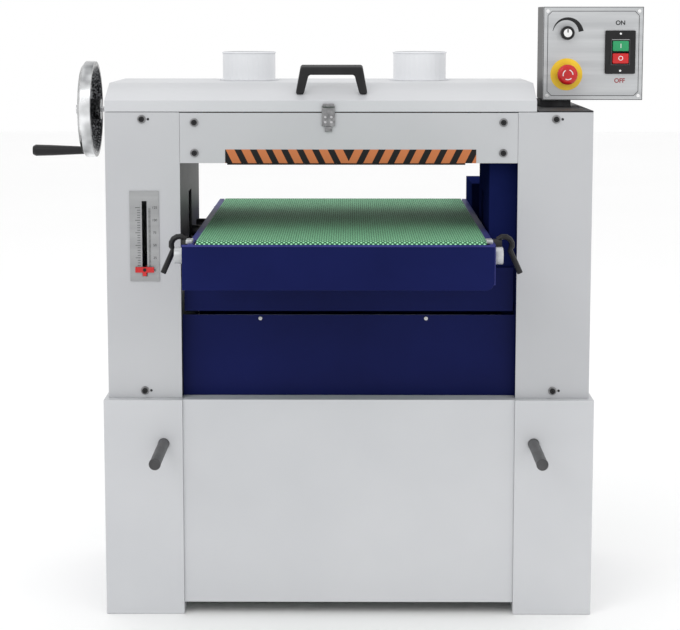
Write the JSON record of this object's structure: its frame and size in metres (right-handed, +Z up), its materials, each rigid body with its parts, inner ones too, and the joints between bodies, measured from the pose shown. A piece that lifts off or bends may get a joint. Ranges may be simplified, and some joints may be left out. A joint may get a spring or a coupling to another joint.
{
  "type": "double drum thickness sander",
  "caption": "Cabinet drum sander with a rising conveyor table between columns, hinged dust hood, handwheel lift and control box.",
  "frame": {"origin": "centre of the bounding box at floor level", "axes": "+Z up, the infeed front towards -Y, the control box towards +X"},
  "size_m": [1.2592, 0.864, 1.2174],
  "materials": {
    "grey_paint": "pale grey satin powder coat",
    "navy_paint": "satin paint",
    "bed_casting": "painted casting",
    "dark_paint": "matt paint",
    "black_plastic": "fine grain",
    "steel": "machined",
    "polished_rim": "polished",
    "aluminium_plate": "brushed",
    "drive_rubber": "matt",
    "belt_green": "rough top weave",
    "abrasive": "abrasive cloth wound on an aluminium drum",
    "red_plastic": "gloss",
    "green_plastic": "gloss"
  },
  "bodies": {
    "stand": {"left_pod": "grey_paint", "right_pod": "grey_paint", "front_base_panel": "grey_paint", "rear_base_panel": "grey_paint", "lower_front_cover": "navy_paint", "lower_rear_cover": "navy_paint", "left_column": "grey_paint", "right_column": "grey_paint", "left_column_cover": "grey_paint", "right_column_cover": "grey_paint", "left_inner_wall": "dark_paint", "right_inner_wall": "navy_paint", "right_inner_guard": "navy_paint", "front_beam": "grey_paint", "rear_beam": "grey_paint", "right_column_cap": "dark_paint", "hood_hinge": "steel", "left_bearing_plate": "steel", "right_bearing_plate": "steel", "main_motor": "dark_paint", "drive_belt": "drive_rubber", "lift_chain": "steel", "scale_plate": "aluminium_plate", "box_bracket": "dark_paint", "control_box": "grey_paint", "control_panel": "aluminium_plate", "switch_plate": "black_plastic"},
    "hood": {"hood": "grey_paint", "left_dust_port": "grey_paint", "right_dust_port": "grey_paint", "hood_handle": "black_plastic"},
    "latch": {"hood_latch": "steel"},
    "front_drum_rotor": {"front_drum": "abrasive", "front_drum_pulley": "dark_paint"},
    "rear_drum_rotor": {"rear_drum": "abrasive", "rear_drum_pulley": "dark_paint"},
    "motor_rotor": {"motor_pulley": "dark_paint"},
    "front_press": {"front_pressure_roller": "steel"},
    "rear_press": {"rear_pressure_roller": "steel"},
    "table": {"table_bed": "bed_casting", "table_skirt": "navy_paint", "front_apron": "navy_paint", "conveyor_belt": "belt_green", "feed_gearbox": "navy_paint", "scale_pointer": "red_plastic"},
    "front_feed": {"front_roller": "steel"},
    "rear_feed": {"rear_roller": "steel"},
    "left_lever": {"left_table_lever": "black_plastic"},
    "right_lever": {"right_table_lever": "black_plastic"},
    "wheel": {"handwheel": "polished_rim", "lift_axle": "steel"},
    "grip": {"wheel_grip": "black_plastic"},
    "left_screw": {"left_lift_screw": "steel"},
    "right_screw": {"right_lift_screw": "steel"},
    "left_bar": {"left_lifting_bar": "dark_paint"},
    "right_bar": {"right_lifting_bar": "dark_paint"},
    "knob": {"speed_knob": "black_plastic"},
    "mushroom": {"stop_mushroom": "red_plastic"},
    "start": {"start_button": "green_plastic"},
    "stop": {"stop_button": "red_plastic"}
  },
  "joints": [
    {"name": "hood_open", "type": "hinge", "parent": "stand", "child": "hood", "pos_m": [0.03065, 0.2258, 1.009], "axis": [-1, 0, 0], "range_deg": [0, 60]},
    {"name": "latch_swing", "type": "hinge", "parent": "hood", "child": "latch", "pos_m": [-0.00935, -0.2246, 1.024], "axis": [-1, 0, 0], "range_deg": [0, 100]},
    {"name": "front_drum_spin", "type": "hinge", "parent": "stand", "child": "front_drum_rotor", "pos_m": [0.03065, -0.09, 0.9695], "axis": [1, 0, 0], "continuous": true},
    {"name": "rear_drum_spin", "type": "hinge", "parent": "stand", "child": "rear_drum_rotor", "pos_m": [0.03065, 0.09, 0.9695], "axis": [1, 0, 0], "continuous": true},
    {"name": "motor_spin", "type": "hinge", "parent": "stand", "child": "motor_rotor", "pos_m": [0.03065, 0, 0.18], "axis": [1, 0, 0], "continuous": true},
    {"name": "front_press_spin", "type": "hinge", "parent": "stand", "child": "front_press", "pos_m": [0.03065, -0.178, 0.922], "axis": [1, 0, 0], "continuous": true},
    {"name": "rear_press_spin", "type": "hinge", "parent": "stand", "child": "rear_press", "pos_m": [0.03065, 0.178, 0.922], "axis": [1, 0, 0], "continuous": true},
    {"name": "table_lift", "type": "slide", "parent": "stand", "child": "table", "axis": [0, 0, 1], "range_m": [0, 0.125]},
    {"name": "handwheel_turn", "type": "hinge", "parent": "stand", "child": "wheel", "pos_m": [-0.49535, 0, 1.006], "axis": [1, 0, 0], "range_deg": [0, 9000]},
    {"name": "grip_spin", "type": "hinge", "parent": "wheel", "child": "grip", "pos_m": [-0.52265, 0, 0.92], "axis": [1, 0, 0], "continuous": true},
    {"name": "left_screw_turn", "type": "hinge", "parent": "stand", "child": "left_screw", "pos_m": [-0.37435, 0, 0.4403], "axis": [0, 0, 1], "range_deg": [0, 9000]},
    {"name": "right_screw_turn", "type": "hinge", "parent": "stand", "child": "right_screw", "pos_m": [0.43565, 0, 0.4403], "axis": [0, 0, 1], "range_deg": [0, 9000]},
    {"name": "front_feed_spin", "type": "hinge", "parent": "table", "child": "front_feed", "pos_m": [0.03065, -0.392, 0.7507], "axis": [1, 0, 0], "continuous": true},
    {"name": "rear_feed_spin", "type": "hinge", "parent": "table", "child": "rear_feed", "pos_m": [0.03065, 0.392, 0.7507], "axis": [1, 0, 0], "continuous": true},
    {"name": "left_lever_swing", "type": "hinge", "parent": "table", "child": "left_lever", "pos_m": [-0.27065, -0.36, 0.765], "axis": [1, 0, 0], "range_deg": [-60, 60]},
    {"name": "right_lever_swing", "type": "hinge", "parent": "table", "child": "right_lever", "pos_m": [0.30495, -0.36, 0.765], "axis": [1, 0, 0], "range_deg": [-60, 60]},
    {"name": "left_bar_slide", "type": "slide", "parent": "stand", "child": "left_bar", "axis": [0, 1, 0], "range_m": [0, 0.1]},
    {"name": "right_bar_slide", "type": "slide", "parent": "stand", "child": "right_bar", "axis": [0, 1, 0], "range_m": [0, 0.1]},
    {"name": "speed_turn", "type": "hinge", "parent": "stand", "child": "knob", "pos_m": [0.47415, -0.07, 1.1645], "axis": [0, -1, 0], "range_deg": [0, 270]},
    {"name": "stop_mushroom_push", "type": "slide", "parent": "stand", "child": "mushroom", "axis": [0, 1, 0], "range_m": [0, 0.005]},
    {"name": "start_push", "type": "slide", "parent": "stand", "child": "start", "axis": [0, 1, 0], "range_m": [0, 0.003], "stiffness_N_per_m": 400},
    {"name": "stop_push", "type": "slide", "parent": "stand", "child": "stop", "axis": [0, 1, 0], "range_m": [0, 0.003], "stiffness_N_per_m": 400}
  ],
  "couplings": [
    {"joint": "rear_drum_spin", "follows": "front_drum_spin", "ratio": 1},
    {"joint": "motor_spin", "follows": "front_drum_spin", "ratio": 1.1111},
    {"joint": "handwheel_turn", "follows": "table_lift", "rad_per_m": 1256.6},
    {"joint": "left_screw_turn", "follows": "table_lift", "rad_per_m": 1256.6},
    {"joint": "right_screw_turn", "follows": "table_lift", "rad_per_m": 1256.6},
    {"joint": "rear_feed_spin", "follows": "front_feed_spin", "ratio": 1}
  ]
}
